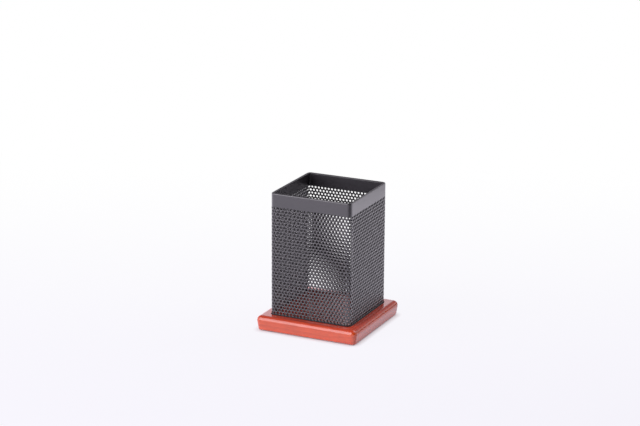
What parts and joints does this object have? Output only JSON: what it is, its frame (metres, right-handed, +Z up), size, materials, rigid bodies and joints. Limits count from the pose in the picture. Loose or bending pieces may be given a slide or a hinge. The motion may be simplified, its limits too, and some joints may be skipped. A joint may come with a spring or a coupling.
{
  "type": "pen holder",
  "caption": "Square desk pen holder: an open sleeve of punched, painted sheet steel with a plain hemmed rim, standing in a grooved wooden base on felt feet.",
  "frame": {"origin": "middle of the base on the surface that the holder stands on", "axes": "+Z up towards the open rim, -Y towards the front wall, +X towards the right wall"},
  "size_m": [0.1034, 0.1034, 0.1339],
  "materials": {
    "wood": "red-brown stain under clear gloss lacquer",
    "painted_steel": "satin charcoal paint on punched sheet steel",
    "felt": "pressed black felt"
  },
  "bodies": {
    "root": {"wooden_base": "wood", "front_wall": "painted_steel", "right_wall": "painted_steel", "rear_wall": "painted_steel", "left_wall": "painted_steel", "front_left_foot": "felt", "front_right_foot": "felt", "rear_right_foot": "felt", "rear_left_foot": "felt"}
  },
  "joints": []
}
